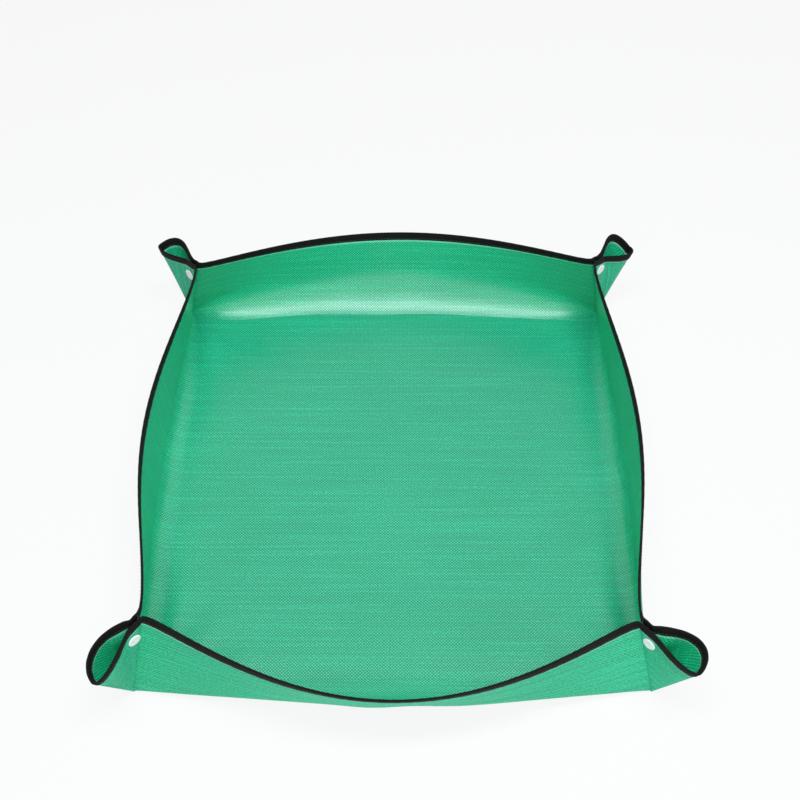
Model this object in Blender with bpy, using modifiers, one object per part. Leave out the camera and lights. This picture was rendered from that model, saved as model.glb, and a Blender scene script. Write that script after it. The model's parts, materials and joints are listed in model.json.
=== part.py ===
"""Repotting mat: a square woven sheet folded up into a tray, with its corners pinched and snapped.

Metres, +Z up, front towards -Y. Run with blender --background --python part.py, or from the text editor.
Each wall is made in a frame of its own: X along its fold, Y outward, Z up.
"""
import math

import bmesh
import bpy
from mathutils import Matrix, Vector

# Sheet
SHEET_SIDE = 0.680
WALL_BAND = 0.095
SHEET_T = 0.0005
FOLD_GAP = 0.0003
FLOOR_SIDE = SHEET_SIDE - 2.0 * WALL_BAND
CORNER_SET_BACK = SHEET_T + FOLD_GAP

# Hem of the standing walls: the snapped corners lean in, the middles lean out and sag
PINCH_IN = 0.0206
PINCH_HEIGHT = 0.0995
END_SPREAD = 0.0475
END_SAG = 0.0145
END_BOW = 1.18
SIDE_SPREAD = 0.0075
SIDE_SAG = 0.005
SIDE_BOW = 1.79

# Ears: the loop of sheet outside each snap
EAR_OUT = 0.0235
EAR_TIP_DROP = 0.011
EAR_HALF_WIDTH = 0.0115
EAR_FLAT = 0.018
EAR_LOW = 0.07
EAR_TIP_GAP = 0.0009
EAR_FLAT_SHARE = 0.25
EAR_REACH = math.sqrt(2.0) * (PINCH_IN + EAR_OUT)
EAR_SLOPE = EAR_TIP_DROP / EAR_REACH

# Folded edge binding
BIND_WIDTH = 0.009
BIND_T = 0.0006
BIND_CLEAR = 0.0005
BIND_SET_BACK = 0.0016
BIND_TIP_GAP = 0.0022

# Snap fasteners, heights measured from the plane where the two plies meet
SNAP_BELOW_TAPE = 0.0006
SNAP_OUT = 0.0075
SNAP_HALF = 0.00285
SNAP_SEAT = 0.0004
SNAP_PLAY = 0.0002
CAP_R = 0.0065
CAP_T = 0.0011
CAP_DISH_R = 0.0032
CAP_DISH = 0.0002
POST_R = 0.00085
RIVET_R = 0.0016
RIVET_T = 0.0005
HOLE_R = 0.00115
DISC_R = 0.0053
DISC_PLATE = 0.0008
CAVITY_R = 0.0030
LIP_R = 0.0025
LIP_T = 0.0004
KNOB_R = 0.0026
NECK_R = 0.0022
RECESS_R = 0.0019
TURN_STEPS = 14

# Columns of facets along each hem
WALL_COLUMNS = 28
EAR_COLUMNS = 16

SNAP_DROP = BIND_WIDTH + SNAP_BELOW_TAPE + EAR_SLOPE * SNAP_OUT + CAP_R * math.hypot(1.0, EAR_SLOPE)
PINCH_HALF_GAP = SNAP_HALF / (1.0 - SNAP_DROP / PINCH_HEIGHT)
SNAP_BACK = SNAP_HALF - SHEET_T / 2.0 - SNAP_SEAT
SNAP_FRONT = SNAP_HALF + SHEET_T / 2.0 + SNAP_SEAT

# Wall: turn of its frame about Z in degrees, hem spread, hem sag, hem bow, corner at +X, corner at -X
WALLS = {
    "front": (180.0, END_SPREAD, END_SAG, END_BOW, "front_left", "front_right"),
    "back": (0.0, END_SPREAD, END_SAG, END_BOW, "back_right", "back_left"),
    "left": (90.0, SIDE_SPREAD, SIDE_SAG, SIDE_BOW, "back_left", "front_left"),
    "right": (-90.0, SIDE_SPREAD, SIDE_SAG, SIDE_BOW, "front_right", "back_right"),
}


def clear_scene():
    for obj in list(bpy.data.objects):
        bpy.data.objects.remove(obj, do_unlink=True)


def make_collection(name):
    collection = bpy.data.collections.new(name)
    bpy.context.scene.collection.children.link(collection)
    return collection


def make_material(name, colour, roughness):
    material = bpy.data.materials.new(name)
    material.use_nodes = True
    shader = material.node_tree.nodes["Principled BSDF"]
    shader.inputs["Base Color"].default_value = (*colour, 1.0)
    shader.inputs["Roughness"].default_value = roughness
    shader.inputs["Metallic"].default_value = 0.0
    return material


def make_hinge(collection, name, matrix, parent=None):
    """An empty on a fold, which the pieces beyond that fold hang from."""
    hinge = bpy.data.objects.new(name, None)
    hinge.empty_display_size = 0.02
    collection.objects.link(hinge)
    hinge.parent = parent
    hinge.matrix_basis = matrix
    return hinge


def make_shell(collection, name, columns, rows, place, thickness, material, hinge):
    """A grid whose points go to place(u, v), with u and v from 0 to 1, made solid about its middle."""
    mesh = bpy.data.meshes.new(name)
    bm = bmesh.new()
    bmesh.ops.create_grid(bm, x_segments=columns, y_segments=rows, size=0.5)
    for vert in bm.verts:
        vert.co = place(vert.co.x + 0.5, vert.co.y + 0.5)
    bm.to_mesh(mesh)
    bm.free()
    mesh.materials.append(material)
    obj = bpy.data.objects.new(name, mesh)
    collection.objects.link(obj)
    obj.parent = hinge
    solid = obj.modifiers.new("Thickness", "SOLIDIFY")
    solid.thickness = thickness
    solid.offset = 0.0
    solid.use_even_offset = True
    solid.use_quality_normals = True
    return obj


def make_turned(collection, name, outline, material, hinge, matrix):
    """A turned piece from its (radius, height) outline, taken down the outer side and back up inside."""
    mesh = bpy.data.meshes.new(name)
    mesh.from_pydata([(r, 0.0, z) for r, z in outline], [(i, i + 1) for i in range(len(outline) - 1)], [])
    mesh.materials.append(material)
    obj = bpy.data.objects.new(name, mesh)
    collection.objects.link(obj)
    obj.parent = hinge
    obj.matrix_basis = matrix
    screw = obj.modifiers.new("Turn", "SCREW")
    screw.axis = "Z"
    screw.steps = TURN_STEPS
    screw.render_steps = TURN_STEPS
    screw.use_merge_vertices = True
    screw.merge_threshold = 0.00001
    return obj


def binding_section():
    """Middle line of the folded tape: (distance past the sheet's edge, distance off the sheet's middle)."""
    off = SHEET_T / 2.0 + BIND_CLEAR + BIND_T / 2.0
    section = [(-BIND_WIDTH, off)]
    for step in range(5):
        angle = math.pi * step / 4.0
        section.append((BIND_CLEAR + off * math.sin(angle), off * math.cos(angle)))
    section.append((-BIND_WIDTH, -off))
    return section


def tape_point(hem, root, columns, first, last, u, v):
    """Point of the tape folded over a hem that runs in straight columns, cut off at first and last."""
    section = binding_section()
    past, off = section[round(v * (len(section) - 1))]
    column = round(u * columns)
    before = max(0, column - 1) / columns
    after = min(columns, column + 1) / columns
    here = column / columns
    edge = hem(here)
    if column == 0:
        edge = edge.lerp(hem(after), first * columns)
        here = first
    if column == columns:
        edge = edge.lerp(hem(before), (1.0 - last) * columns)
        here = last
    along = (edge - hem(before)).normalized() + (hem(after) - edge).normalized()
    up = (edge - root(here)).normalized()
    normal = along.cross(up).normalized()
    return edge + up * past + normal * off


class Wall:
    """One wall in its own frame: straight from the fold up to a bowed hem."""

    def __init__(self, spread, sag, bow):
        self.spread = spread
        self.sag = sag
        self.bow = bow
        self.foot = FLOOR_SIDE / 2.0 - CORNER_SET_BACK
        self.reach = FLOOR_SIDE / 2.0 - PINCH_IN - PINCH_HALF_GAP / math.sqrt(2.0)
        self.end_in = PINCH_IN - PINCH_HALF_GAP / math.sqrt(2.0)

    def hem(self, t):
        """Hem point at t from -1 to 1: the outward lean grows from the corners to the middle."""
        share = max(0.0, 1.0 - t * t) ** self.bow
        out = -self.end_in + (self.end_in + self.spread) * share
        return Vector((t * self.reach, out, PINCH_HEIGHT - self.sag * share))

    def fold(self, t):
        return Vector((t * self.foot, 0.0, SHEET_T))

    def sheet(self, u, v):
        """Straight line from fold to hem, with a row of points where the binding's edge lies on it."""
        t = 2.0 * u - 1.0
        fold = self.fold(t)
        hem = self.hem(t)
        under_tape = 1.0 - BIND_WIDTH / (hem - fold).length
        level = (0.0, under_tape / 2.0, under_tape, 1.0)[round(3.0 * v)]
        return fold.lerp(hem, level)

    def binding(self, u, v):
        first = BIND_SET_BACK / (2.0 * self.reach)
        return tape_point(
            lambda s: self.hem(2.0 * s - 1.0), lambda s: self.fold(2.0 * s - 1.0),
            WALL_COLUMNS, first, 1.0 - first, u, v)


class Ear:
    """One ply of an ear, in its wall's frame, measured from the floor corner at the foot of its fold."""

    def __init__(self, wall, side):
        self.outward = Vector((side, 1.0, 0.0)).normalized()
        self.aside = Vector((-side, 1.0, 0.0)).normalized()
        self.foot = wall.fold(side)
        self.pinch = wall.hem(side) - self.foot
        corner = Vector((side * FLOOR_SIDE / 2.0, 0.0, 0.0))
        self.meeting = (self.foot - corner).dot(self.aside)
        self.start = self.outward * CORNER_SET_BACK

    def hem(self, u):
        """Half a teardrop: flat beside the snap, then out to its widest and round to the tip."""
        turn = math.pi * max(0.0, u - EAR_FLAT_SHARE) / (1.0 - EAR_FLAT_SHARE)
        bend = (1.0 - math.cos(turn)) / 2.0
        out = EAR_FLAT * min(1.0, u / EAR_FLAT_SHARE) + (EAR_REACH - EAR_FLAT) * bend
        widest = 0.65
        bulge = EAR_HALF_WIDTH / widest * math.sin(turn) * math.sin(turn / 2.0) ** 2
        aside = (EAR_TIP_GAP - PINCH_HALF_GAP) * bend + bulge
        return self.pinch + self.outward * out + self.aside * aside - Vector((0.0, 0.0, EAR_SLOPE * out))

    def sheet(self, u, v):
        return self.start + self.hem(u) * (EAR_LOW + (1.0 - EAR_LOW) * v)

    def binding(self, u, v):
        first = BIND_SET_BACK * EAR_FLAT_SHARE / EAR_FLAT
        last_column = (self.hem(1.0 - 1.0 / EAR_COLUMNS) - self.hem(1.0)).length
        last = 1.0 - (BIND_TIP_GAP - EAR_TIP_GAP) / last_column / EAR_COLUMNS
        return tape_point(
            lambda s: self.start + self.hem(s), lambda s: self.start,
            EAR_COLUMNS, first, last, u, v)

    def snap_frame(self):
        """Frame of the snap: origin where the two plies meet, Z straight out through this ply."""
        level = 1.0 - SNAP_DROP / PINCH_HEIGHT
        centre = self.start + self.pinch * level + self.outward * SNAP_OUT
        centre -= self.aside * (centre.dot(self.aside) + self.meeting)
        z_axis = self.aside
        x_axis = Vector((0.0, 0.0, 1.0))
        y_axis = z_axis.cross(x_axis)
        turn = Matrix((x_axis, y_axis, z_axis)).transposed().to_4x4()
        return Matrix.Translation(centre) @ turn


def cap_outline():
    """Round cap with a dished face, its post through the sheet and the riveted end of that post."""
    face = SNAP_FRONT + CAP_T
    rivet_top = SNAP_BACK - DISC_PLATE - SNAP_PLAY
    return [
        (0.0, face - CAP_DISH),
        (CAP_DISH_R, face - CAP_DISH / 2.0),
        (CAP_DISH_R * 1.25, face),
        (CAP_R * 0.86, face - CAP_T * 0.12),
        (CAP_R * 0.97, face - CAP_T * 0.42),
        (CAP_R, SNAP_FRONT + CAP_T * 0.15),
        (CAP_R * 0.97, SNAP_FRONT),
        (POST_R, SNAP_FRONT),
        (POST_R, rivet_top),
        (RIVET_R, rivet_top),
        (RIVET_R, rivet_top - RIVET_T * 0.6),
        (RIVET_R * 0.6, rivet_top - RIVET_T),
        (0.0, rivet_top - RIVET_T),
    ]


def socket_outline():
    """Socket disc: a back plate with the post's hole, and a ring whose mouth narrows to a lip."""
    mouth = -(SNAP_BACK - DISC_PLATE - SNAP_PLAY)
    return [
        (HOLE_R, SNAP_BACK),
        (DISC_R, SNAP_BACK),
        (DISC_R, SNAP_BACK - DISC_PLATE),
        (DISC_R * 0.82, mouth + LIP_T),
        (DISC_R * 0.72, mouth),
        (LIP_R, mouth),
        (LIP_R, mouth + LIP_T),
        (CAVITY_R, mouth + LIP_T * 1.6),
        (CAVITY_R, SNAP_BACK - DISC_PLATE),
        (HOLE_R, SNAP_BACK - DISC_PLATE),
        (HOLE_R, SNAP_BACK),
    ]


def stud_outline():
    """Stud disc: a plate with the post's hole, and a hollow knob with a neck behind its head."""
    plate = SNAP_BACK - DISC_PLATE
    lip_back = plate - SNAP_PLAY - LIP_T
    top = plate - 2.0 * SNAP_PLAY - RIVET_T - (SNAP_BACK - DISC_PLATE) * 0.6
    return [
        (HOLE_R, SNAP_BACK),
        (DISC_R, SNAP_BACK),
        (DISC_R, plate),
        (NECK_R, plate),
        (NECK_R, lip_back),
        (KNOB_R, lip_back - SNAP_PLAY),
        (KNOB_R, top + (lip_back - SNAP_PLAY - top) * 0.4),
        (NECK_R, top),
        (RECESS_R, top),
        (RECESS_R, plate),
        (HOLE_R, plate),
        (HOLE_R, SNAP_BACK),
    ]


def make_floor(collection, material):
    half = FLOOR_SIDE / 2.0 - CORNER_SET_BACK

    def place(u, v):
        return Vector(((2.0 * u - 1.0) * half, (2.0 * v - 1.0) * half, SHEET_T / 2.0))

    make_shell(collection, "floor_sheet", 2, 2, place, SHEET_T, material, None)


def make_snap_hole(cutters, sheet, frame, hinge):
    """Punches the post's hole through one ply."""
    mesh = bpy.data.meshes.new(sheet.name + "_hole")
    bm = bmesh.new()
    middle = Matrix.Translation((0.0, 0.0, SNAP_HALF))
    bmesh.ops.create_cone(bm, cap_ends=True, segments=12, radius1=HOLE_R, radius2=HOLE_R,
                          depth=SNAP_HALF, matrix=middle)
    bm.to_mesh(mesh)
    bm.free()
    cutter = bpy.data.objects.new(sheet.name + "_hole", mesh)
    cutters.objects.link(cutter)
    cutter.parent = hinge
    cutter.matrix_basis = frame
    cutter.hide_render = True
    cutter.display_type = "WIRE"
    cut = sheet.modifiers.new("Post hole", "BOOLEAN")
    cut.operation = "DIFFERENCE"
    cut.solver = "EXACT"
    cut.object = cutter


def make_ear(collection, cutters, materials, wall_name, wall, side, corner, wall_hinge):
    sheet_material, binding_material, snap_material = materials
    ear = Ear(wall, side)
    name = f"{corner}_ear_{wall_name}"
    hinge = make_hinge(collection, name + "_hinge", Matrix.Translation(ear.foot), wall_hinge)
    sheet = make_shell(
        collection, name + "_sheet", EAR_COLUMNS, 4, ear.sheet, SHEET_T, sheet_material, hinge)
    make_shell(
        collection, name + "_binding", EAR_COLUMNS, 6, ear.binding, BIND_T, binding_material, hinge)
    frame = ear.snap_frame()
    make_snap_hole(cutters, sheet, frame, hinge)
    make_turned(collection, f"{corner}_snap_{wall_name}_cap", cap_outline(), snap_material, hinge, frame)
    if wall_name in ("front", "back"):
        make_turned(collection, f"{corner}_snap_socket", socket_outline(), snap_material, hinge, frame)
    else:
        make_turned(collection, f"{corner}_snap_stud", stud_outline(), snap_material, hinge, frame)


def make_wall(collection, cutters, materials, name):
    turn, spread, sag, bow, plus_corner, minus_corner = WALLS[name]
    wall = Wall(spread, sag, bow)
    frame = Matrix.Rotation(math.radians(turn), 4, "Z") @ Matrix.Translation((0.0, FLOOR_SIDE / 2.0, 0.0))
    hinge = make_hinge(collection, name + "_wall_hinge", frame)
    make_shell(
        collection, name + "_wall_sheet", WALL_COLUMNS, 3, wall.sheet, SHEET_T, materials[0], hinge)
    make_shell(
        collection, name + "_wall_binding", WALL_COLUMNS, 6, wall.binding, BIND_T, materials[1], hinge)
    make_ear(collection, cutters, materials, name, wall, 1.0, plus_corner, hinge)
    make_ear(collection, cutters, materials, name, wall, -1.0, minus_corner, hinge)


clear_scene()
mat_collection = make_collection("repotting_mat")
cutter_collection = make_collection("cutters")
mat_materials = (
    make_material("woven_sheet", (0.07, 0.42, 0.27), 0.4),
    make_material("edge_binding", (0.012, 0.012, 0.014), 0.85),
    make_material("snap_plastic", (0.82, 0.82, 0.80), 0.3),
)
make_floor(mat_collection, mat_materials[0])
for wall_key in WALLS:
    make_wall(mat_collection, cutter_collection, mat_materials, wall_key)
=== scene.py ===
"""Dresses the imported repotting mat: its woven sheet, bound edge and snaps, and the studio around it."""
import json

import bmesh
import bpy
import numpy as np
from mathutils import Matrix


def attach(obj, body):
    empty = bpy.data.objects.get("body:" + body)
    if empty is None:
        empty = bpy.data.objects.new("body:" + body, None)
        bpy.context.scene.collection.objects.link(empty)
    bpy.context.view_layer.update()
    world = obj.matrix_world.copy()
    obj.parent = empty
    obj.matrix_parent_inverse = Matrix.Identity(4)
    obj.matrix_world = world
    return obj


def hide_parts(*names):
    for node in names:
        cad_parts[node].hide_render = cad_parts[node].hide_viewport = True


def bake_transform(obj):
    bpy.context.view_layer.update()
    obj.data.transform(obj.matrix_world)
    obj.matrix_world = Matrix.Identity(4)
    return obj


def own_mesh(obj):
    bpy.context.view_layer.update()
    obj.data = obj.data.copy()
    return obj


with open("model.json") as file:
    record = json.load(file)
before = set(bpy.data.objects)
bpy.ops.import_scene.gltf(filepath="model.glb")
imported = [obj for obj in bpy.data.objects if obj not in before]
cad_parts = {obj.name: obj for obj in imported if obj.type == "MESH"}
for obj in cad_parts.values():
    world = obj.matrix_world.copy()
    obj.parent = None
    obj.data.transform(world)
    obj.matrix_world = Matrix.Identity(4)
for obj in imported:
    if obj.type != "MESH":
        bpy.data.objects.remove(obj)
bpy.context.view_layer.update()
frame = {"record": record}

# Studio and camera
# The mat stands on a pale seamless table with white all round. A long cool lamp hangs over it, and
# three larger ones stand in front and to the right. The camera looks down from in front, at 52 mm.
scene = bpy.context.scene
scene.view_settings.view_transform = "Standard"

camera_data = bpy.data.cameras.new("front_camera")
camera_data.sensor_width = 36.0
camera_data.lens = 52.06
camera = bpy.data.objects.new("front_camera", camera_data)
camera.location = (0.0069, -0.714, 1.028)
camera.rotation_euler = (np.radians(38.66), 0.0, 0.0)
scene.collection.objects.link(camera)
scene.camera = camera


def add_softbox(name, place, aim, size, power, tint=(1.0, 1.0, 1.0)):
    """A rectangular area lamp at place, turned to face aim."""
    data = bpy.data.lights.new(name, "AREA")
    data.shape = "RECTANGLE"
    data.size, data.size_y = size
    data.energy = power
    data.color = tint
    lamp = bpy.data.objects.new(name, data)
    scene.collection.objects.link(lamp)
    lamp.location = place
    down = np.asarray(aim, float) - np.asarray(place, float)
    tilt = np.arctan2(np.hypot(down[0], down[1]), -down[2])
    lamp.rotation_euler = (tilt, 0.0, np.arctan2(down[1], down[0]) - np.pi / 2.0)


cool = (0.86, 0.93, 1.0)
middle = (0.0, 0.0, 0.0)
add_softbox("overhead_softbox", (0.06, -0.26, 1.7), (0.04, -0.1, 0.0), (1.20, 0.25), 24.5, cool)
add_softbox("upper_softbox", (0.1, -0.95, 1.6), middle, (1.2, 0.60), 7.0)
add_softbox("front_softbox", (0.3, -2.2, 0.8), middle, (2.6, 1.4), 16.0)
add_softbox("side_softbox", (2.2, 0.3, 1.0), middle, (1.4, 1.0), 6.0)


def math_node(tree, operation, *values):
    """A Math node whose inputs are numbers or other nodes' outputs."""
    node = tree.nodes.new("ShaderNodeMath")
    node.operation = operation
    for socket, value in zip(node.inputs, values):
        if isinstance(value, (int, float)):
            socket.default_value = value
        else:
            tree.links.new(value, socket)
    return node.outputs[0]


def shown_as_white(tree):
    """1 for rays that show the studio: those from the camera, in reflections and through clear things."""
    ray = tree.nodes.new("ShaderNodeLightPath").outputs
    mirrored = math_node(tree, "ADD", ray["Is Camera Ray"], ray["Is Glossy Ray"])
    return math_node(tree, "MINIMUM", math_node(tree, "ADD", mirrored, ray["Is Transmission Ray"]), 1.0)


world = bpy.data.worlds.new("white_studio")
scene.world = world
world.use_nodes = True
sky = world.node_tree.nodes["Background"]
sky.inputs["Color"].default_value = (1.0, 1.0, 1.0, 1.0)
glow = world.node_tree.nodes.new("ShaderNodeMapRange")
glow.inputs["To Min"].default_value = 0.17
glow.inputs["To Max"].default_value = 1.0
world.node_tree.links.new(shown_as_white(world.node_tree), glow.inputs["Value"])
world.node_tree.links.new(glow.outputs["Result"], sky.inputs["Strength"])

table_half = 6.0
table_top = -0.0004
table_signs = ((-1, -1), (1, -1), (1, 1), (-1, 1))
table_corners = [(x * table_half, y * table_half, table_top) for x, y in table_signs]
table_mesh = bpy.data.meshes.new("studio_table")
table_mesh.from_pydata(table_corners, [], [(0, 1, 2, 3)])
table = bpy.data.objects.new("studio_table", table_mesh)
scene.collection.objects.link(table)


def pale_paper():
    """White paper: mostly its own plain white, and for the rest as the lamps light it, so shadows stay."""
    plain_share = 0.88
    finish = bpy.data.materials.new("pale_paper")
    finish.use_nodes = True
    tree = finish.node_tree
    paper = tree.nodes["Principled BSDF"]
    paper.inputs["Base Color"].default_value = (0.70, 0.70, 0.70, 1.0)
    paper.inputs["Roughness"].default_value = 0.9
    paper.inputs["Specular IOR Level"].default_value = 0.0
    white = tree.nodes.new("ShaderNodeEmission")
    mix = tree.nodes.new("ShaderNodeMixShader")
    tree.links.new(math_node(tree, "MULTIPLY", shown_as_white(tree), plain_share), mix.inputs["Fac"])
    tree.links.new(paper.outputs[0], mix.inputs[1])
    tree.links.new(white.outputs[0], mix.inputs[2])
    tree.links.new(mix.outputs[0], tree.nodes["Material Output"].inputs["Surface"])
    return finish


table_mesh.materials.append(pale_paper())

# Floor of the tray
# The mat is one square of woven polyethylene tapes with a glossy film laminated on its inner side.
# Its middle lies flat on the table, and its edges run out into the rounded bends at the foot of each wall.
joints = {joint["name"]: joint for joint in frame["record"]["behaviour"]["joints"]}
FLOOR_HALF = -joints["front_wall_fold"]["pos_m"][1]
SHEET_T = 0.0005
BEND_END = 0.0015
BEND = {"front": 0.034, "back": 0.028, "left": 0.022, "right": 0.022}
BEND_POWER = {"front": 2, "back": 8, "left": 4, "right": 4}
BELLY = {"front": 0.020, "back": 0.0235, "left": 0.002, "right": 0.002}
EDGE_WAVE = 0.0018
FOLD_HEIGHT = 0.0011
FOLD_REACH = 0.2
FOLD_RIDGES = 3
EDGE_POWER = 6


def bend_run(t, wall):
    """Run of the bend on each side of the fold: longest in the middle, almost a crease at the corners."""
    return BEND_END + (BEND[wall] - BEND_END) * np.clip(1.0 - t ** BEND_POWER[wall], 0.0, 1.0) ** 0.7


def belly(t, wall):
    """How far the foot of a wall bows out past its straight fold: 1 - |t|^3, nothing at the corners."""
    return BELLY[wall] * (1.0 - np.abs(t) ** 3)


def floor_edge(t, wall):
    """How far the floor's flat part reaches past the straight fold, with a slight waviness."""
    wave = EDGE_WAVE * np.sin(7.0 * t + 1.0) * np.sin(3.0 * t) * (1.0 - t * t)
    return belly(t, wall) - bend_run(t, wall) + wave


def corner_folds(tx, ty):
    """Shallow folds fanning in from each corner: sin^2 of the angle, rising then fading with distance."""
    along, up = 1.0 - np.abs(tx), 1.0 - np.abs(ty)
    far = np.hypot(along, up) / FOLD_REACH
    uneven = 1.0 + 0.4 * np.sin(2.0 * tx + 3.0 * ty)
    ridges = np.sin(2.0 * FOLD_RIDGES * np.arctan2(up, along)) ** 2
    return FOLD_HEIGHT * uneven * far * np.exp(1.0 - far) * ridges


def unit(vectors):
    """Vectors scaled to length 1."""
    return vectors / np.linalg.norm(vectors, axis=-1, keepdims=True)


def add_mesh(name, points, faces, finish, uv=None, sharp=180.0):
    """A smooth mesh at the origin; uv is a pair per face corner, and edges past sharp degrees stay crisp."""
    mesh = bpy.data.meshes.new(name)
    mesh.from_pydata(points.reshape(-1, 3).tolist(), [], faces)
    if uv is not None:
        mesh.uv_layers.new(name="flat").data.foreach_set("uv", uv.astype(np.float32).ravel())
    mesh.polygons.foreach_set("use_smooth", np.ones(len(mesh.polygons), bool))
    mesh.set_sharp_from_angle(angle=np.radians(sharp))
    mesh.materials.append(finish)
    piece = bpy.data.objects.new(name, mesh)
    scene.collection.objects.link(piece)
    return piece


def add_sheet(name, points, uv, below_hem):
    """A thin closed sheet: the grid of points pushed half the thickness both ways, and a rim round it."""
    rows, columns = points.shape[:2]
    out = unit(np.cross(np.gradient(points, axis=0), np.gradient(points, axis=1))) * SHEET_T / 2.0
    index = np.arange(rows * columns).reshape(rows, columns)
    cells = np.stack([index[:-1, :-1], index[1:, :-1], index[1:, 1:], index[:-1, 1:]], -1).reshape(-1, 4)
    edge = np.concatenate([index[:-1, 0], index[-1, :-1], index[:0:-1, -1], index[0, :0:-1]])
    after = np.roll(edge, -1)
    rim = np.stack([edge, edge + rows * columns, after + rows * columns, after], -1)
    faces = np.concatenate([cells, cells[:, ::-1] + rows * columns, rim])
    corners = uv.reshape(-1, 2)[faces % (rows * columns)]
    piece = add_mesh(name, np.stack([points + out, points - out]), faces.tolist(), film_side, corners, 40.0)
    piece.data.materials.append(plain_side)
    plain = (np.arange(len(faces)) >= len(cells)).astype(np.int32)
    piece.data.polygons.foreach_set("material_index", plain)
    gap = piece.data.attributes.new("below_hem", "FLOAT", "POINT")
    gap.data.foreach_set("value", np.tile(below_hem.ravel(), 2).astype(np.float32))
    return piece


def area_of(points):
    """Area of a grid of points: half the cross product of each cell's diagonals."""
    one = points[1:, 1:] - points[:-1, :-1]
    two = points[:-1, 1:] - points[1:, :-1]
    return float(np.linalg.norm(np.cross(one, two), axis=-1).sum() / 2.0)


def noise_node(tree, vector, scale, detail):
    """A Noise Texture over vector, as its Fac output."""
    node = tree.nodes.new("ShaderNodeTexNoise")
    node.inputs["Scale"].default_value = scale
    node.inputs["Detail"].default_value = detail
    tree.links.new(vector, node.inputs["Vector"])
    return node.outputs["Fac"]


def woven_sheet_finish(name, depth, contrast, roughness, shine):
    """Plain weave of flat tapes 1.6 mm wide, streaked along the weft, with the gloss of its own side."""
    tape = 0.0016
    finish = bpy.data.materials.new(name)
    finish.use_nodes = True
    tree = finish.node_tree
    shader = tree.nodes["Principled BSDF"]
    flat = tree.nodes.new("ShaderNodeUVMap")
    flat.uv_map = "flat"
    split = tree.nodes.new("ShaderNodeSeparateXYZ")
    tree.links.new(flat.outputs["UV"], split.inputs[0])
    warp = math_node(tree, "SINE", math_node(tree, "MULTIPLY", split.outputs["X"], np.pi / tape))
    weft = math_node(tree, "SINE", math_node(tree, "MULTIPLY", split.outputs["Y"], np.pi / tape))
    above = tree.nodes.new("ShaderNodeMapRange")
    above.interpolation_type = "SMOOTHSTEP"
    above.inputs["From Min"].default_value = -0.05
    above.inputs["From Max"].default_value = 0.60
    tree.links.new(math_node(tree, "MULTIPLY", warp, weft), above.inputs["Value"])
    warp_crown = math_node(tree, "SQRT", math_node(tree, "ABSOLUTE", warp))
    weft_crown = math_node(tree, "SQRT", math_node(tree, "ABSOLUTE", weft))
    up = math_node(tree, "MULTIPLY", warp_crown, above.outputs[0])
    under = math_node(tree, "MULTIPLY", weft_crown, math_node(tree, "SUBTRACT", 1.0, above.outputs[0]))
    height = math_node(tree, "ADD", up, under)
    drawn = tree.nodes.new("ShaderNodeMapping")
    drawn.inputs["Scale"].default_value = (6.0, 330.0, 1.0)
    tree.links.new(flat.outputs["UV"], drawn.inputs["Vector"])
    streak = noise_node(tree, drawn.outputs["Vector"], 1.0, 2.0)
    cloud = noise_node(tree, flat.outputs["UV"], 9.0, 3.0)
    speck = noise_node(tree, flat.outputs["UV"], 480.0, 2.0)
    tone = math_node(tree, "MULTIPLY_ADD", above.outputs[0], contrast, -depth - 0.30 * contrast)
    tone = math_node(tree, "MULTIPLY_ADD", height, 0.45, tone)
    tone = math_node(tree, "MULTIPLY_ADD", streak, 1.30, tone)
    tone = math_node(tree, "MULTIPLY_ADD", cloud, 0.30, tone)
    tone = math_node(tree, "MULTIPLY_ADD", speck, 2.00, math_node(tree, "SUBTRACT", tone, 0.50))
    hem = tree.nodes.new("ShaderNodeAttribute")
    hem.attribute_name = "below_hem"
    beside = tree.nodes.new("ShaderNodeMapRange")
    beside.interpolation_type = "SMOOTHSTEP"
    beside.inputs["From Min"].default_value = 0.0118
    beside.inputs["From Max"].default_value = 0.0098
    tree.links.new(hem.outputs["Fac"], beside.inputs["Value"])
    ramp = tree.nodes.new("ShaderNodeValToRGB")
    ramp.color_ramp.elements[0].color = (0.0090, 0.272, 0.132, 1.0)
    ramp.color_ramp.elements[1].color = (0.037, 0.745, 0.421, 1.0)
    tree.links.new(tone, ramp.inputs["Fac"])
    worn = tree.nodes.new("ShaderNodeMix")
    worn.data_type = "RGBA"
    worn.inputs[7].default_value = (0.30, 0.74, 0.52, 1.0)
    tree.links.new(math_node(tree, "MULTIPLY", beside.outputs[0], 0.8), worn.inputs[0])
    tree.links.new(ramp.outputs["Color"], worn.inputs[6])
    tree.links.new(worn.outputs[2], shader.inputs["Base Color"])
    tree.links.new(math_node(tree, "MULTIPLY_ADD", cloud, 0.12, roughness), shader.inputs["Roughness"])
    shader.inputs["Specular IOR Level"].default_value = shine
    shader.inputs["Subsurface Weight"].default_value = 0.9
    shader.inputs["Subsurface Radius"].default_value = (0.5, 1.0, 0.75)
    shader.inputs["Subsurface Scale"].default_value = 0.0020
    bump = tree.nodes.new("ShaderNodeBump")
    bump.inputs["Strength"].default_value = 0.15
    bump.inputs["Distance"].default_value = 0.0002
    tree.links.new(height, bump.inputs["Height"])
    tree.links.new(bump.outputs["Normal"], shader.inputs["Normal"])
    return finish


film_side = woven_sheet_finish("woven_sheet_film_side", 1.20, 1.60, 0.26, 0.58)
plain_side = woven_sheet_finish("woven_sheet_plain_side", 1.13, 0.80, 0.60, 0.7)

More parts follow.
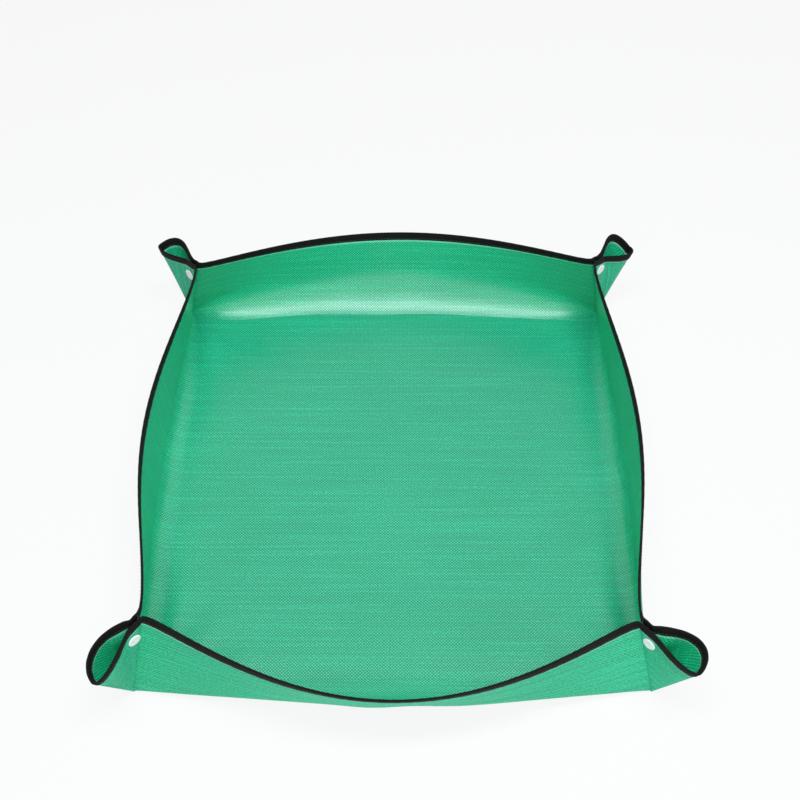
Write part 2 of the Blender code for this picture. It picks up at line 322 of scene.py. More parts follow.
span = np.linspace(-1.0, 1.0, 97)
tx, ty = np.meshgrid(span, span, indexing="ij")
inner = FLOOR_HALF - BEND_END
x_edge = np.where(tx < 0.0, floor_edge(ty, "left"), floor_edge(-ty, "right"))
y_edge = np.where(ty < 0.0, floor_edge(-tx, "front"), floor_edge(tx, "back"))
floor_points = np.stack([
    tx * inner + (x_edge + BEND_END) * tx * np.abs(tx) ** EDGE_POWER,
    ty * inner + (y_edge + BEND_END) * ty * np.abs(ty) ** EDGE_POWER,
    SHEET_T / 2.0 + corner_folds(tx, ty),
], -1)
floor_piece = add_sheet("tray_floor", floor_points, floor_points[..., :2], np.ones_like(tx))
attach(floor_piece, "floor")
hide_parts("floor_sheet")
area_of(floor_points)

# Walls
# The outer band of the same sheet turns up on four sides. Pinching the corners draws the ends in,
# so the hem sweeps down and out to the middle of the front and back, and stands straight at the sides.
WALL_TURN = {"front": np.pi, "back": 0.0, "left": np.pi / 2.0, "right": -np.pi / 2.0}
SPREAD = {"front": 0.0475, "back": 0.0475, "left": 0.0082, "right": 0.0055}
HEM_HEIGHT = {"front": 0.085, "back": 0.085, "left": 0.0945, "right": 0.0945}
BOW = {"front": 1.18, "back": 1.18, "left": 1.79, "right": 1.79}
CREASE = {"front": 10.0, "back": 22.0, "left": 0.0, "right": 0.0}
CORNERS = {
    ("front", 1): "front_left", ("front", -1): "front_right",
    ("back", 1): "back_right", ("back", -1): "back_left",
    ("left", 1): "back_left", ("left", -1): "front_left",
    ("right", 1): "front_right", ("right", -1): "back_right",
}
PINCH_IN = {"front_left": 0.0232, "front_right": 0.0240, "back_left": 0.0222, "back_right": 0.0192}
PINCH_HEIGHT = {"front_left": 0.1060, "front_right": 0.0968, "back_left": 0.1000, "back_right": 0.1035}
PINCH_SWING = {"front_left": -0.0022, "front_right": -0.0006, "back_left": -0.0010, "back_right": -0.0010}
PLY_HALF_GAP = 0.0013
SOFT_TURN = 0.006
END_LAP = {"front": 0.0, "back": 0.006, "left": 0.012, "right": 0.012}
END_POWER = 5
BEND_SHARE = 0.6
WALL_RIPPLE = 0.0008
TURN_START = 0.0005
TURN_END = 0.014


def stack(x, y, z):
    """Points from three arrays that broadcast together."""
    return np.stack(np.broadcast_arrays(x, y, z), -1)


def turn_to(points, wall, about=FLOOR_HALF):
    """From a wall's own frame, X along its fold, Y outward, to the mat's."""
    c, s = np.cos(WALL_TURN[wall]), np.sin(WALL_TURN[wall])
    x, y, z = points[..., 0], points[..., 1] + about, points[..., 2]
    return stack(c * x - s * y, s * x + c * y, z)


def ear_axes(side):
    """Outward along the corner's diagonal, and aside, square to it on this ply's side."""
    return np.array([side, 1.0, 0.0]) / np.sqrt(2.0), np.array([-side, 1.0, 0.0]) / np.sqrt(2.0)


def ear_foot(side):
    """The floor's corner, where both plies of an ear begin."""
    return np.array([side * FLOOR_HALF, 0.0, SHEET_T / 2.0])


def faces_front(wall, side):
    """1 for a ply on the front side of its corner's diagonal, -1 for one behind it."""
    return -1.0 if turn_to(ear_axes(side)[1], wall, 0.0)[1] > 0.0 else 1.0


def pinch_point(wall, side):
    """Where the two plies of a corner come together at the hem, midway between them."""
    corner = CORNERS[wall, side]
    outward, aside = ear_axes(side)
    swing = faces_front(wall, side) * PINCH_SWING[corner]
    up = np.array([0.0, 0.0, PINCH_HEIGHT[corner]])
    return ear_foot(side) - outward * np.sqrt(2.0) * PINCH_IN[corner] + aside * swing + up


def soft_turn(points, wall, side):
    """How far a hem cuts its corner: it fades with distance, and is just enough to take the kink out."""
    outward, aside = ear_axes(side)
    end = pinch_point(wall, side) + aside * PLY_HALF_GAP
    inside = unit(outward - np.array([side, 0.0, 0.0]))
    far = np.linalg.norm(points - end, axis=-1, keepdims=True)
    return inside * SOFT_TURN * np.sin(np.pi / 8.0) * np.exp(-far / SOFT_TURN)


def wall_chord_hem(t, wall):
    """Hem of a wall before its ends are softened: a chord between pinches plus (1 - t^2) to a power."""
    share = np.clip(1.0 - t * t, 0.0, 1.0)[..., None] ** BOW[wall]
    left = pinch_point(wall, -1) + ear_axes(-1)[1] * PLY_HALF_GAP
    right = pinch_point(wall, 1) + ear_axes(1)[1] * PLY_HALF_GAP
    middle = (left + right) / 2.0
    sweep = np.array([0.0, SPREAD[wall] - middle[1], HEM_HEIGHT[wall] - middle[2]])
    return middle + t[..., None] * (right - left) / 2.0 + share * sweep


def wall_hem(t, wall):
    """Hem of a wall, with the turn into each ear softened."""
    hem = wall_chord_hem(t, wall)
    return hem + soft_turn(hem, wall, 1) + soft_turn(hem, wall, -1)


def wall_foot(t, wall):
    """Where the lines of floor and wall would meet with no bend."""
    return stack(t * FLOOR_HALF, belly(t, wall), SHEET_T / 2.0)


def wall_surface(t, v, wall):
    """A quadratic bend that leaves the floor at the crease's angle, then the wall's straight line."""
    foot = wall_foot(t, wall)
    hem = wall_chord_hem(t, wall)
    line = unit(hem - foot)
    start = stack(t * (FLOOR_HALF - BEND_END), floor_edge(t, wall), SHEET_T / 2.0)
    rise = np.tan(np.radians(CREASE[wall]) * (1.0 - t ** BEND_POWER[wall]))
    reach = (foot - start)[..., 1] * rise / (line[..., 2] - rise * line[..., 1])
    control = foot + line * reach[..., None]
    top = control + line * np.linalg.norm(control - start, axis=-1, keepdims=True)
    s = np.clip(v / BEND_SHARE, 0.0, 1.0)[..., None]
    bent = (1.0 - s) ** 2 * start + 2.0 * s * (1.0 - s) * control + s ** 2 * top
    r = np.clip((v - BEND_SHARE) / (1.0 - BEND_SHARE), 0.0, 1.0)[..., None]
    ripple = np.sin(9.0 * t + 2.0 * np.sin(5.0 * t)) * np.sin(np.pi * v) ** 2 * (1.0 - t ** 4)
    points = bent + (hem - top) * r + (wall_hem(t, wall) - hem) * r ** END_POWER
    return points + WALL_RIPPLE * stack(0.0 * ripple, ripple, 0.0 * ripple)


def wall_flat(points, wall):
    """Place on the flat sheet: along the fold as it stands, and out by the length up the wall."""
    steps = np.linalg.norm(np.diff(points, axis=1), axis=-1)
    run = np.concatenate([np.zeros_like(steps[:, :1]), np.cumsum(steps, axis=1)], 1)
    return turn_to(stack(points[..., 0], points[:, :1, 1] + run, 0.0), wall)[..., :2]


end_close = np.sin(np.linspace(-np.pi / 2.0, np.pi / 2.0, 121))
wall_t, wall_v = np.meshgrid(end_close, np.linspace(0.0, 1.0, 41), indexing="ij")
wall_pieces = {}
for wall in WALL_TURN:
    local = wall_surface(wall_t * (1.0 + END_LAP[wall] * wall_v), wall_v, wall)
    placed = turn_to(local, wall)
    below = np.linalg.norm(local - local[:, -1:], axis=-1)
    piece = add_sheet(wall + "_wall", placed, wall_flat(local, wall), below)
    fold = turn_to(np.array([[0.0, 0.0, TURN_START], [0.0, 0.0, TURN_END]]), wall)
    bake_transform(piece)
    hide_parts(wall + "_wall_sheet")
    wall_pieces[wall] = (piece, placed)

# Ears
# Beyond each pinch the sheet's corner stands out as a loop of two plies, a leaf shape at the hem
# that narrows down to the floor's corner. The tips hang to the front, and a snap holds the plies flat.
EAR_REACH = {"front_left": 0.0670, "front_right": 0.0690, "back_left": 0.0608, "back_right": 0.0590}
EAR_TIP_HEIGHT = {"front_left": 0.0900, "front_right": 0.0935, "back_left": 0.0955, "back_right": 0.0915}
EAR_SWING = {"front_left": 0.0150, "front_right": 0.0025, "back_left": 0.0070, "back_right": 0.0080}
FRONT_BULGE = {"front_left": 0.0062, "front_right": 0.0060, "back_left": 0.0065, "back_right": 0.0110}
REAR_BULGE = {"front_left": 0.0192, "front_right": 0.0230, "back_left": 0.0162, "back_right": 0.0170}
FRONT_SKEW = 1.5
REAR_SKEW = {"front_left": 0.9, "front_right": 1.1, "back_left": 2.0, "back_right": 2.6}
REAR_RISE = {"front_left": 0.0, "front_right": 0.0, "back_left": 0.0035, "back_right": 0.0105}
FRONT_FLAT = 0.016
REAR_FLAT = {"front_left": 0.009, "front_right": 0.0115, "back_left": 0.009, "back_right": 0.009}
FLAT_SHARE_PER_METRE = 15.6
HEM_HALF_GAP = 0.0024
SNAP_HALF_GAP = 0.00287
SNAP_HEIGHT = {"front_left": 0.0825, "front_right": 0.0782, "back_left": 0.0775, "back_right": 0.0840}
SNAP_OUT = {"front_left": -0.0175, "front_right": -0.0168, "back_left": -0.0165, "back_right": -0.0138}
TIP_STAY = {"front_left": 0.1, "front_right": 0.1, "back_left": 0.28, "back_right": 0.24}
TIP_LAP = 0.05
LAP_BACK = 0.009
LAP_ASIDE = 0.05
CREASE_SHARE = 0.1
LEAF_START = 0.7
CAP_HOLD = 0.0065
PUCKER_REACH = 0.0055
EAR_DENT = 0.0008
HEM_POWER = 12
FLAT_KEEP = 0.25
TIP_OVERLAP = 0.0005


def ease(x):
    """Smooth step from 0 to 1: 3x^2 - 2x^3."""
    x = np.clip(x, 0.0, 1.0)
    return x * x * (3.0 - 2.0 * x)


def snap_centre(wall, side):
    """The middle of a snap, on its axis and midway between the plies."""
    corner = CORNERS[wall, side]
    outward, aside = ear_axes(side)
    height = SNAP_HEIGHT[corner]
    swing = faces_front(wall, side) * PINCH_SWING[corner] * height / PINCH_HEIGHT[corner]
    below = ear_foot(side) * [1.0, 1.0, 0.0] + outward * SNAP_OUT[corner] + aside * swing
    return below + [0.0, 0.0, height]


def snap_pucker(points, u, wall, side):
    """How far a snap holds a ply from its own line: flat under the cap, then fading as a Gaussian."""
    outward, aside = ear_axes(side)
    off = points - snap_centre(wall, side)
    far = np.hypot(off @ outward, off[..., 2])
    past_cap = np.clip(far - CAP_HOLD, 0.0, None) / PUCKER_REACH
    hold = ease(u / CREASE_SHARE) * np.exp(-0.5 * past_cap ** 2)
    return hold * (SNAP_HALF_GAP - off @ aside)


def ear_plain_hem(u, wall, side):
    """Half a leaf: flat at the snap, then width as sin a times a power of sin (a/2); past 1 it laps over."""
    corner = CORNERS[wall, side]
    front = faces_front(wall, side)
    outward, aside = ear_axes(side)
    flat, bulge, skew, rise = FRONT_FLAT, FRONT_BULGE[corner], FRONT_SKEW, 0.0
    if front < 0.0:
        flat, bulge = REAR_FLAT[corner], REAR_BULGE[corner]
        skew, rise = REAR_SKEW[corner], REAR_RISE[corner]
    share = flat * FLAT_SHARE_PER_METRE
    a = np.pi * np.clip(u - share, 0.0, 1.0 - share) / (1.0 - share)
    bend = (1.0 - np.cos(a)) / 2.0
    lap = np.clip(u - 1.0, 0.0, None)
    out = flat * np.clip(u / share, 0.0, 1.0) + (EAR_REACH[corner] - flat) * bend - LAP_BACK * lap
    widest = 2.0 * np.sqrt((1.0 + skew) ** (1.0 + skew) / (2.0 + skew) ** (2.0 + skew))
    leaf = np.sin(a) * np.sin(a / 2.0) ** skew * ease(a / LEAF_START) / widest
    wide = bulge * leaf + front * EAR_SWING[corner] * bend - LAP_ASIDE * lap
    wide = wide + (PLY_HALF_GAP + (HEM_HALF_GAP - PLY_HALF_GAP) * ease(u / CREASE_SHARE)) * (1.0 - bend)
    drop = (EAR_TIP_HEIGHT[corner] - PINCH_HEIGHT[corner]) * out / EAR_REACH[corner] + rise * leaf
    level = pinch_point(wall, side) + out[..., None] * outward + wide[..., None] * aside
    return level + drop[..., None] * np.array([0.0, 0.0, 1.0])


def ear_hem(u, wall, side):
    """Hem of a ply, with the turn out of its wall softened."""
    hem = ear_plain_hem(u, wall, side)
    return hem + soft_turn(hem, wall, side)


def run_along(path):
    """Length along a path at each of its points."""
    return np.concatenate([[0.0], np.cumsum(np.linalg.norm(np.diff(path, axis=0), axis=-1))])


def ear_surface(u, v, wall, side):
    """Straight lines from the floor's corner to the hem, with a soft dent and the snap's pucker."""
    foot = ear_foot(side)
    hem = ear_plain_hem(u, wall, side)
    dent = EAR_DENT * np.sin(np.pi * v) * np.sin(2.0 * np.pi * np.clip(u, 0.0, 1.0))
    cut = (ear_hem(u, wall, side) - hem) * v[..., None] ** HEM_POWER
    plain = foot + v[..., None] * (hem - foot)
    lift = dent + snap_pucker(plain, u, wall, side) * (1.0 - v ** HEM_POWER)
    return plain + cut + lift[..., None] * ear_axes(side)[1]


def opened(point, joint):
    """A point turned about a joint's axis to the end of its range."""
    axis = np.array(joint["axis"])
    angle = np.radians(joint["range_deg"][1])
    arm = point - np.array(joint["pos_m"])
    cos, sin = np.cos(angle), np.sin(angle)
    turned = arm * cos + np.cross(axis, arm) * sin + axis * (axis @ arm) * (1.0 - cos)
    return np.array(joint["pos_m"]) + turned


def flatten_ear(piece, wall, side):
    """Works out the plane a ply would flatten to as the corner opens, keeping its crease shut and its tip
    met, and gives the piece its own mesh.
    """
    step = 0.0001
    corner = CORNERS[wall, side]
    crease = joints[f"{corner}_ear_{wall}_crease"]
    fold = joints[wall + "_wall_fold"]
    foot = ear_foot(side)
    aside = ear_axes(side)[1]
    hem = ear_hem(np.array([0.0, 1.0]), wall, side) - foot
    level = hem[1] - aside * (aside @ hem[1])
    shut = opened(turn_to(foot + hem[0], wall), fold)
    met = TIP_STAY[corner] * faces_front(wall, side) * EAR_SWING[corner] - TIP_OVERLAP

    def plane_axis(tilt):
        """Normal of the plane, tilted by two small lengths: at the crease's hem, and at the tip."""
        return unit(np.cross(hem[0] + aside * tilt[0], level + aside * tilt[1]))

    def misses(tilt):
        """How far the opened ply misses its wall along the normal, and its pair at the tip."""
        axis = plane_axis(tilt)
        flat = hem - (1.0 - FLAT_KEEP) * (hem @ axis)[:, None] * axis
        spots = turn_to(foot + np.array([flat[0], flat[0] + axis, flat[1]]), wall)
        start, ahead, tip = [opened(opened(spot, crease), fold) for spot in spots]
        apart = turn_to(aside, wall, 0.0) @ (tip - turn_to(foot, wall)) - met
        return np.array([(start - shut) @ (ahead - start), apart])

    tilt = np.zeros(2)
    for _ in range(8):
        miss = misses(tilt)
        slope = np.stack([(misses(tilt + step * one) - miss) / step for one in np.eye(2)], -1)
        tilt = tilt - np.linalg.solve(slope, miss)
    axis = turn_to(plane_axis(tilt), wall, 0.0)
    tuple(axis)
    tuple(turn_to(foot, wall))
    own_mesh(piece)


ear_pieces = {}
for (wall, side), corner in CORNERS.items():
    last = 1.0 + TIP_LAP if wall in ("left", "right") else 1.0
    ear_u, ear_v = np.meshgrid(np.linspace(0.0, last, 61), np.linspace(0.002, 1.0, 41), indexing="ij")
    placed = turn_to(ear_surface(ear_u, ear_v, wall, side), wall)
    hem_run = run_along(ear_hem(ear_u[:, 0], wall, side))
    along = FLOOR_HALF + (hem_run[:, None] - PINCH_IN[corner]) * ear_v
    flat = turn_to(stack(side * along, ear_v * PINCH_HEIGHT[corner], 0.0), wall)[..., :2]
    below = np.linalg.norm(placed - placed[:, -1:], axis=-1)
    name = f"{corner}_ear_{wall}"
    piece = add_sheet(name + "_ply", placed[::side], flat[::side], below[::side])
    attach(piece, name)
    flatten_ear(piece, wall, side)
    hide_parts(name + "_sheet")
    ear_pieces[wall, side] = (piece, placed)

# Edge binding
# A black woven tape is folded over the raw edge all the way round and sewn through with one row of
# black thread near its own edge. It is cut here only where the mat folds.
TAPE_WIDTH = 0.0085
TAPE_HALF = 0.0011
TAPE_LIP = 0.0004
TAPE_FLAT_TOP = 0.003
STITCH_IN = 0.0065
STITCH_PITCH = 0.004
STITCH_SIZE = (0.00155, 0.00032, 0.00030)
STITCH_SINK = 0.0001
STITCH_END = 0.08
GROOVE_HALF = 0.0006
GROOVE_DEPTH = 0.00025
PUCKER_PITCH = 0.012
PUCKER_SHARE = 0.07
WALL_BELOW = 0.96
EAR_BELOW = 0.92


def woven_tape_finish():
    """Black tape with fine ribs across it, paler at random, and paler on the ribs' crowns as a painted
    highlight.
    """
    finish = bpy.data.materials.new("edge_binding")
    finish.use_nodes = True
    tree = finish.node_tree
    shader = tree.nodes["Principled BSDF"]
    flat = tree.nodes.new("ShaderNodeUVMap")
    flat.uv_map = "flat"
    split = tree.nodes.new("ShaderNodeSeparateXYZ")
    tree.links.new(flat.outputs["UV"], split.inputs[0])
    ribs = math_node(tree, "SINE", math_node(tree, "MULTIPLY", split.outputs["X"], 2.0 * np.pi / 0.0009))
    cross = math_node(tree, "SINE", math_node(tree, "MULTIPLY", split.outputs["Y"], 2.0 * np.pi / 0.0006))
    height = math_node(tree, "MULTIPLY_ADD", cross, 0.35, ribs)
    fuzz = noise_node(tree, flat.outputs["UV"], 700.0, 2.0)
    # Painted highlight: the tone rises with the ribs' height, on top of the random paler fuzz.
    tone = math_node(tree, "MULTIPLY_ADD", height, 0.18, fuzz)
    ramp = tree.nodes.new("ShaderNodeValToRGB")
    ramp.color_ramp.elements[0].position = 0.2
    ramp.color_ramp.elements[0].color = (0.0015, 0.0015, 0.0018, 1.0)
    ramp.color_ramp.elements[1].position = 0.9
    ramp.color_ramp.elements[1].color = (0.0075, 0.0072, 0.0075, 1.0)
    tree.links.new(tone, ramp.inputs["Fac"])
    tree.links.new(ramp.outputs["Color"], shader.inputs["Base Color"])
    tree.links.new(math_node(tree, "MULTIPLY_ADD", fuzz, 0.2, 0.7), shader.inputs["Roughness"])
    shader.inputs["Specular IOR Level"].default_value = 0.15
    bump = tree.nodes.new("ShaderNodeBump")
    bump.inputs["Strength"].default_value = 0.5
    bump.inputs["Distance"].default_value = 0.00015
    tree.links.new(height, bump.inputs["Height"])
    tree.links.new(bump.outputs["Normal"], shader.inputs["Normal"])
    return finish


def thread_finish():
    """Black sewing thread, with its twist as fine bands of dark grey."""
    finish = bpy.data.materials.new("sewing_thread")
    finish.use_nodes = True
    tree = finish.node_tree
    shader = tree.nodes["Principled BSDF"]
    flat = tree.nodes.new("ShaderNodeUVMap")
    flat.uv_map = "flat"
    twist = tree.nodes.new("ShaderNodeTexWave")
    twist.inputs["Scale"].default_value = 900.0
    tree.links.new(flat.outputs["UV"], twist.inputs["Vector"])
    ramp = tree.nodes.new("ShaderNodeValToRGB")
    ramp.color_ramp.elements[0].color = (0.008, 0.008, 0.009, 1.0)
    ramp.color_ramp.elements[1].color = (0.030, 0.030, 0.032, 1.0)
    tree.links.new(twist.outputs["Fac"], ramp.inputs["Fac"])
    tree.links.new(ramp.outputs["Color"], shader.inputs["Base Color"])
    shader.inputs["Roughness"].default_value = 0.5
    return finish


def tape_section():
    """Outline of the folded tape: lips, flat sides grooved for the stitches, a half round on the edge."""
    a = np.linspace(0.0, np.pi, 9)
    side = np.array([
        [-TAPE_WIDTH, TAPE_HALF - TAPE_LIP],
        [-TAPE_WIDTH + TAPE_LIP, TAPE_HALF],
        [-STITCH_IN - GROOVE_HALF, TAPE_HALF],
        [-STITCH_IN, TAPE_HALF - GROOVE_DEPTH],
        [-STITCH_IN + GROOVE_HALF, TAPE_HALF],
        [-TAPE_FLAT_TOP, TAPE_HALF],
    ])
    fold = np.stack([TAPE_HALF * np.sin(a), TAPE_HALF * np.cos(a)], -1)
    return np.concatenate([side, fold, side[::-1] * [1.0, -1.0]])


def tape_frames(path, below, first, last):
    """Along, up and out at each point of a hem; first and last are the directions shared at its ends."""
    along = unit(np.gradient(path, axis=0))
    along[0] = first
    along[-1] = last
    up = unit(path - below)
    out = unit(np.cross(along, up))
    return along, up, out


def tape_surface(path, frames):
    """The section carried along the hem, with a slight pucker between stitches."""
    _, up, out = frames
    section = tape_section()
    run = run_along(path)
    pucker = 1.0 + PUCKER_SHARE * np.sin(2.0 * np.pi * run / PUCKER_PITCH + np.sin(run * 90.0))
    points = path[:, None] + section[None, :, :1] * up[:, None]
    points = points + section[None, :, 1:] * out[:, None] * pucker[:, None, None]
    across = run_along(section)
    across = np.append(across, across[-1] + 2.0 * (TAPE_HALF - TAPE_LIP))
    return points, stack(run[:, None], across[None, :], 0.0)[..., :2]


def add_tape(name, points, uv, body):
    """The carried section as a closed skin with an end face at each end."""
    rows, columns = points.shape[:2]
    i, j = np.meshgrid(np.arange(rows - 1), np.arange(columns), indexing="ij")
    cell_rows = np.stack([i, i, i + 1, i + 1], -1).reshape(-1, 4)
    cell_columns = np.stack([j, j + 1, j + 1, j], -1).reshape(-1, 4)
    faces = (cell_rows * columns + cell_columns % columns).tolist()
    faces += [list(range(columns))[::-1], list(range((rows - 1) * columns, rows * columns))]
    ends = [uv[0, columns - 1::-1], uv[-1, :columns]]
    corners = np.concatenate([uv[cell_rows, cell_columns].reshape(-1, 2)] + ends)
    piece = add_mesh(name, points, faces, tape_black, corners, 70.0)
    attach(piece, body)
    return piece


def stitch_surface(path, frames):
    """A row of short threads on both faces: each a grid round an ellipsoid, laid along the tape."""
    along, up, out = frames
    run = run_along(path)
    count = int(run[-1] / STITCH_PITCH)
    at = (np.arange(count) + 0.5) * run[-1] / count

    def at_stitches(values):
        """Values of the path's points, read off at each stitch."""
        return np.stack([np.interp(at, run, values[:, k]) for k in range(3)], -1)

    along, up, out = unit(at_stitches(along)), unit(at_stitches(up)), unit(at_stitches(out))
    centre = at_stitches(path) - STITCH_IN * up
    face = np.array([1.0, -1.0])
    centre = centre[:, None] + face[None, :, None] * (TAPE_HALF - STITCH_SINK) * out[:, None]
    lengthwise = np.linspace(STITCH_END, np.pi - STITCH_END, 7)
    a, b = np.meshgrid(lengthwise, np.linspace(0.0, 2.0 * np.pi, 7)[:-1], indexing="ij")
    length = STITCH_SIZE[0] * np.cos(a)
    width = STITCH_SIZE[1] * np.sin(a) ** 0.5 * np.cos(b)
    depth = STITCH_SIZE[2] * np.sin(a) ** 0.5 * np.sin(b)
    shape = (length[..., None] * along[:, None, None, None, :]
             + width[..., None] * up[:, None, None, None, :]
             + depth[..., None] * out[:, None, None, None, :])
    return (centre[:, :, None, None, :] + shape).reshape(-1, *a.shape, 3)


def ring_cells(rows, columns):
    """Faces of a grid that closes round on itself, as four point numbers each."""
    i, j = np.meshgrid(np.arange(rows - 1), np.arange(columns), indexing="ij")
    beside = (j + 1) % columns
    near, far = i * columns, (i + 1) * columns
    return np.stack([near + j, near + beside, far + beside, far + j], -1).reshape(-1, 4)


def add_stitches(name, threads, body):
    """All the stitches of one length of tape as one mesh of small closed grids."""
    count, rows, columns = threads.shape[:3]
    first = np.arange(count)[:, None, None] * rows * columns
    faces = (ring_cells(rows, columns)[None] + first).reshape(-1, 4).tolist()
    ends = np.array([np.arange(columns)[::-1], (rows - 1) * columns + np.arange(columns)])
    faces += (ends[None] + first).reshape(-1, columns).tolist()
    place = threads.reshape(-1, 3)
    corners = np.concatenate([place[face] for face in faces])
    piece = add_mesh(name, place, faces, thread_black, corners[:, :2] + corners[:, 2:])
    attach(piece, body)
    return piece


tape_black = woven_tape_finish()
thread_black = thread_finish()


def turn_middle(side):
    """Direction along the hem at a pinch, halfway between the wall's line and the ear's."""
    return unit(np.array([side, 0.0, 0.0]) + ear_axes(side)[0])


for wall in WALL_TURN:
    t = (1.0 + END_LAP[wall]) * np.sin(np.linspace(-np.pi / 2.0, np.pi / 2.0, 201))
    path = wall_hem(t, wall)
    below = wall_surface(t, np.full_like(t, WALL_BELOW), wall)
    frames = tape_frames(path, below, -turn_middle(-1), turn_middle(1))
    points, flat = tape_surface(path, frames)
    tape_piece = add_tape(wall + "_wall_tape", turn_to(points, wall), flat, wall + "_wall")
    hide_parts(wall + "_wall_binding")
    threads = turn_to(stitch_surface(path, frames), wall)
    stitches = add_stitches(wall + "_wall_stitches", threads, wall + "_wall")

for (wall, side), corner in CORNERS.items():
    u = np.linspace(0.0, 1.0, 81)
    path = ear_hem(u, wall, side)
    below = ear_surface(u, np.full_like(u, EAR_BELOW), wall, side)
    frames = tape_frames(path, below, turn_middle(side), -ear_axes(side)[1])
    points, flat = tape_surface(path, frames)
    name = f"{corner}_ear_{wall}"
    tape_piece = add_tape(name + "_tape", turn_to(points, wall), flat, name)
    flatten_ear(tape_piece, wall, side)
    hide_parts(name + "_binding")
    threads = turn_to(stitch_surface(path, frames), wall)
    stitches = add_stitches(name + "_stitches", threads, name)
    flatten_ear(stitches, wall, side)

for wall in WALL_TURN:
    piece, placed = wall_pieces[wall]
    area_of(placed)
for (wall, side), (piece, placed) in ear_pieces.items():
    area_of(placed)

# Snap fasteners
# White moulded snaps hold the plies together just under the hem. A cap's post goes through the sheet
# and is riveted over inside the socket on one ply, and inside the stud on the other.
SNAP_TURN = 48


def moulded_finish():
    """White moulded plastic: a faint cloudiness in colour and gloss, and a fine satin grain."""
    finish = bpy.data.materials.new("snap_plastic")
    finish.use_nodes = True
    tree = finish.node_tree
    shader = tree.nodes["Principled BSDF"]
    place = tree.nodes.new("ShaderNodeTexCoord").outputs["Object"]
    cloud = noise_node(tree, place, 350.0, 2.0)
    grain = noise_node(tree, place, 6000.0, 1.0)
    ramp = tree.nodes.new("ShaderNodeValToRGB")
    ramp.color_ramp.elements[0].color = (0.86, 0.89, 0.89, 1.0)
    ramp.color_ramp.elements[1].color = (0.94, 0.96, 0.96, 1.0)
    tree.links.new(cloud, ramp.inputs["Fac"])
    tree.links.new(ramp.outputs["Color"], shader.inputs["Base Color"])
    tree.links.new(math_node(tree, "MULTIPLY_ADD", cloud, 0.12, 0.22), shader.inputs["Roughness"])
    bump = tree.nodes.new("ShaderNodeBump")
    bump.inputs["Strength"].default_value = 0.08
    bump.inputs["Distance"].default_value = 0.00005
    tree.links.new(grain, bump.inputs["Height"])
    tree.links.new(bump.outputs["Normal"], shader.inputs["Normal"])
    return finish


def cap_outline():
    """Dished face, quarter-ellipse edge, flat back, post and riveted end, as (radius, height) in mm."""
    a = np.linspace(0.0, np.pi / 2.0, 9)
    dish = np.linspace(0.0, 1.0, 7)
    face = np.stack([3.3 * dish, 4.42 + 0.18 * dish ** 3], -1)
    rim = np.stack([5.5 + 1.0 * np.sin(a), 3.62 + 0.94 * np.cos(a)], -1)
    back = [[6.5, 3.56], [6.3, 3.5], [0.95, 3.5], [0.85, 3.4], [0.85, 1.2]]
    rivet = np.stack([1.6 - 0.5 * (1.0 - np.cos(a)), 1.1 - 0.4 * np.sin(a)], -1)
    return np.concatenate([face, [[3.7, 4.61]], rim, back, [[1.6, 1.2]], rivet, [[0.0, 0.7]]])


def socket_outline():
    """Back plate with the post's hole, a tapered ring, and a lip at its mouth, in mm."""
    a = np.linspace(0.0, np.pi / 2.0, 6)
    shoulder = np.stack([5.0 + 0.3 * np.sin(a), 1.9 + 0.3 * np.cos(a)], -1)
    mouth = np.stack([3.9 + 0.4 * np.cos(a), -0.7 - 0.4 * np.sin(a)], -1)
    inside = [[2.6, -1.1], [2.5, -1.0], [2.5, -0.8], [3.0, -0.46], [3.0, 1.4], [1.15, 1.4]]
    return np.concatenate([[[1.15, 2.2]], shoulder, [[5.3, 1.5]], mouth, inside, [[1.15, 2.2]]])


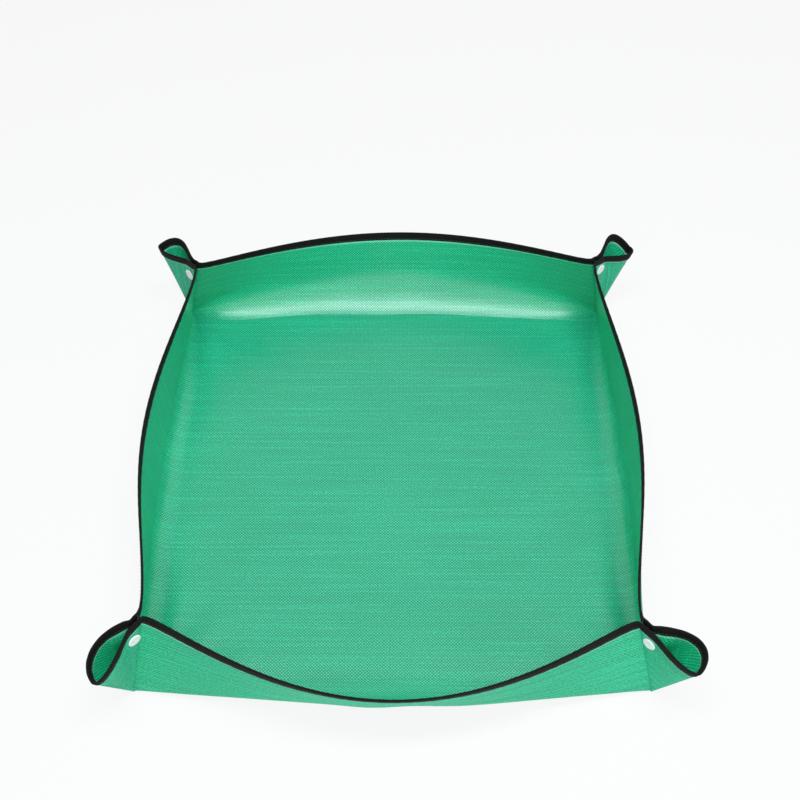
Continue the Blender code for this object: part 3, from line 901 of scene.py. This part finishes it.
def stud_outline():
    """Plate with the post's hole, then a hollow knob with a neck and a rounded head, in mm."""
    a = np.linspace(0.0, np.pi / 2.0, 6)
    shoulder = np.stack([5.0 + 0.3 * np.sin(a), 1.9 + 0.3 * np.cos(a)], -1)
    head = np.stack([2.2 + 0.4 * np.cos(a), 0.1 - 0.34 * np.sin(a)], -1)
    neck = [[5.3, 1.5], [5.2, 1.4], [2.3, 1.4], [2.2, 1.3], [2.2, 0.75], [2.55, 0.5]]
    inside = [[1.9, -0.24], [1.9, 1.4], [1.15, 1.4]]
    return np.concatenate([[[1.15, 2.2]], shoulder, neck, head, inside, [[1.15, 2.2]]])


def turned_surface(outline, wall, side):
    """Outline turned about the snap's axis, which runs straight out through the ply."""
    centre = snap_centre(wall, side)
    aside = ear_axes(side)[1]
    across = np.array([0.0, 0.0, 1.0])
    over = np.cross(aside, across)
    a = np.linspace(0.0, 2.0 * np.pi, SNAP_TURN, endpoint=False)
    r, z = outline[:, :1] / 1000.0, outline[:, 1:] / 1000.0
    ring = np.cos(a)[None, :, None] * across + np.sin(a)[None, :, None] * over
    return turn_to(centre + r[..., None] * ring + z[..., None] * aside, wall)


def add_turned(name, outline, wall, side, node):
    """A turned piece on its ply, closed at poles and where its outline comes back on itself."""
    points = turned_surface(outline, wall, side)
    cells = ring_cells(*points.shape[:2])
    mesh = bpy.data.meshes.new(name)
    mesh.from_pydata(points.reshape(-1, 3).tolist(), [], cells.tolist())
    shell = bmesh.new()
    shell.from_mesh(mesh)
    bmesh.ops.remove_doubles(shell, verts=shell.verts, dist=1e-7)
    bmesh.ops.recalc_face_normals(shell, faces=shell.faces)
    shell.to_mesh(mesh)
    shell.free()
    mesh.polygons.foreach_set("use_smooth", np.ones(len(mesh.polygons), bool))
    mesh.set_sharp_from_angle(angle=np.radians(50.0))
    mesh.materials.append(snap_white)
    piece = bpy.data.objects.new(name, mesh)
    scene.collection.objects.link(piece)
    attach(piece, f"{CORNERS[wall, side]}_ear_{wall}")
    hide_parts(node)


snap_white = moulded_finish()
for (wall, side), corner in CORNERS.items():
    add_turned(f"{corner}_{wall}_cap", cap_outline(), wall, side, f"{corner}_snap_{wall}_cap")
    if wall in ("front", "back"):
        add_turned(f"{corner}_socket", socket_outline(), wall, side, f"{corner}_snap_socket")
    else:
        add_turned(f"{corner}_stud", stud_outline(), wall, side, f"{corner}_snap_stud")
